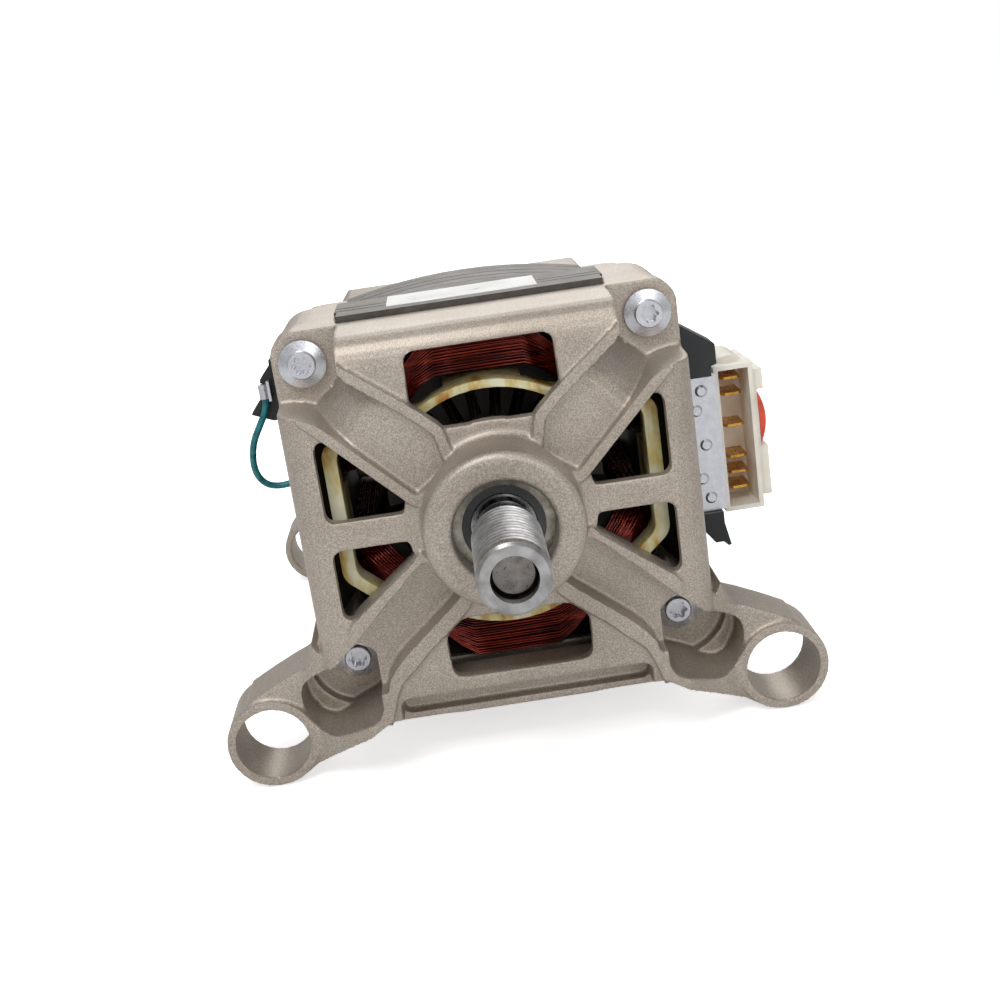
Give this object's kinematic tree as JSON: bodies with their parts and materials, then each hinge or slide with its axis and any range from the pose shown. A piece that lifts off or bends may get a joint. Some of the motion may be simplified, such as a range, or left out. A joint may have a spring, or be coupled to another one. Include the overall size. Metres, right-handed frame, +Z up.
{
  "type": "washing machine motor",
  "caption": "Brushed drive motor for a washing machine: cast end shields on lug mounts, ribbed belt pulley, wound field coils, brush gear and a speed sensor.",
  "frame": {"origin": "centre of the base of the bounding box, level with the underside of the mounting lugs", "axes": "+X to the right seen from the pulley end, +Y from the pulley to the back of the motor along the shaft, +Z up"},
  "size_m": [0.1804, 0.2682, 0.134],
  "materials": {
    "cast_aluminium": "satin, shot-blasted die casting",
    "lamination_steel": "stacked sheet edges, matt",
    "copper_enamel": "enamelled copper wire, glossy",
    "cream_plastic": "moulded insulation, satin",
    "bearing_steel": "ground and polished",
    "dark_steel": "ground, oiled",
    "zinc_steel": "bright zinc plate",
    "seal_rubber": "matt",
    "white_label": "smooth film, blank",
    "commutator_copper": "turned, worn",
    "phenolic": "moulded",
    "ferrite": "sintered",
    "black_plastic": "moulded, satin",
    "brass_strip": "bright strip",
    "brush_carbon": "pressed carbon",
    "spring_steel": "bright wire",
    "white_plastic": "moulded, satin",
    "red_plastic": "moulded",
    "teal_cover": "smooth wire cover"
  },
  "bodies": {
    "motor": {"front_shield": "cast_aluminium", "front_skirt": "cast_aluminium", "front_legs": "cast_aluminium", "rear_shield": "cast_aluminium", "rear_end_plate": "cast_aluminium", "rear_legs": "cast_aluminium", "stator_stack": "lamination_steel", "field_coil_upper": "copper_enamel", "field_coil_lower": "copper_enamel", "coil_frame_front": "cream_plastic", "coil_frame_rear": "cream_plastic", "shield_screws": "zinc_steel", "blank_label": "white_label", "front_bearing_outer": "dark_steel", "front_bearing_seals": "seal_rubber", "rear_bearing_outer": "dark_steel", "rear_bearing_seals": "seal_rubber", "rear_wave_washer": "spring_steel", "tacho_coil": "copper_enamel", "tacho_cap": "black_plastic", "brush_holder_left": "black_plastic", "brush_holder_right": "black_plastic", "brush_guide_left": "brass_strip", "brush_guide_right": "brass_strip", "brush_spring_left": "spring_steel", "brush_spring_right": "spring_steel", "brush_holder_screws": "zinc_steel", "terminal_bracket": "zinc_steel", "bracket_clip_upper": "black_plastic", "bracket_clip_lower": "black_plastic", "terminal_block": "white_plastic", "terminal_tabs": "brass_strip", "lock_slide": "red_plastic", "earth_clip": "black_plastic", "earth_tab": "zinc_steel", "earth_lead": "teal_cover"},
    "rotor": {"shaft": "bearing_steel", "pulley": "bearing_steel", "armature_core": "lamination_steel", "armature_winding": "copper_enamel", "commutator_bars": "commutator_copper", "commutator_hub": "phenolic", "front_bearing_inner": "bearing_steel", "rear_bearing_inner": "bearing_steel", "tacho_magnet": "ferrite"},
    "front_balls": {"front_bearing_balls": "bearing_steel", "front_bearing_cage": "brass_strip"},
    "rear_balls": {"rear_bearing_balls": "bearing_steel", "rear_bearing_cage": "brass_strip"},
    "brush_left": {"carbon_brush_left": "brush_carbon"},
    "brush_right": {"carbon_brush_right": "brush_carbon"}
  },
  "joints": [
    {"name": "rotor_spin", "type": "hinge", "parent": "motor", "child": "rotor", "pos_m": [0, -0.097, 0.0769], "axis": [0, 1, 0], "continuous": true},
    {"name": "front_cage_spin", "type": "hinge", "parent": "motor", "child": "front_balls", "pos_m": [0, -0.0869, 0.0769], "axis": [0, 1, 0], "continuous": true},
    {"name": "rear_cage_spin", "type": "hinge", "parent": "motor", "child": "rear_balls", "pos_m": [0, 0.093, 0.0769], "axis": [0, 1, 0], "continuous": true},
    {"name": "brush_right_slide", "type": "slide", "parent": "motor", "child": "brush_right", "axis": [1, 0, 0], "range_m": [0, 0.005], "stiffness_N_per_m": 80, "springref_m": -0.03, "deforming": ["brush_spring_right"]},
    {"name": "brush_left_slide", "type": "slide", "parent": "motor", "child": "brush_left", "axis": [-1, 0, 0], "range_m": [0, 0.005], "stiffness_N_per_m": 80, "springref_m": -0.03, "deforming": ["brush_spring_left"]}
  ],
  "couplings": [
    {"joint": "front_cage_spin", "follows": "rotor_spin", "ratio": 0.383},
    {"joint": "rear_cage_spin", "follows": "rotor_spin", "ratio": 0.3806}
  ]
}
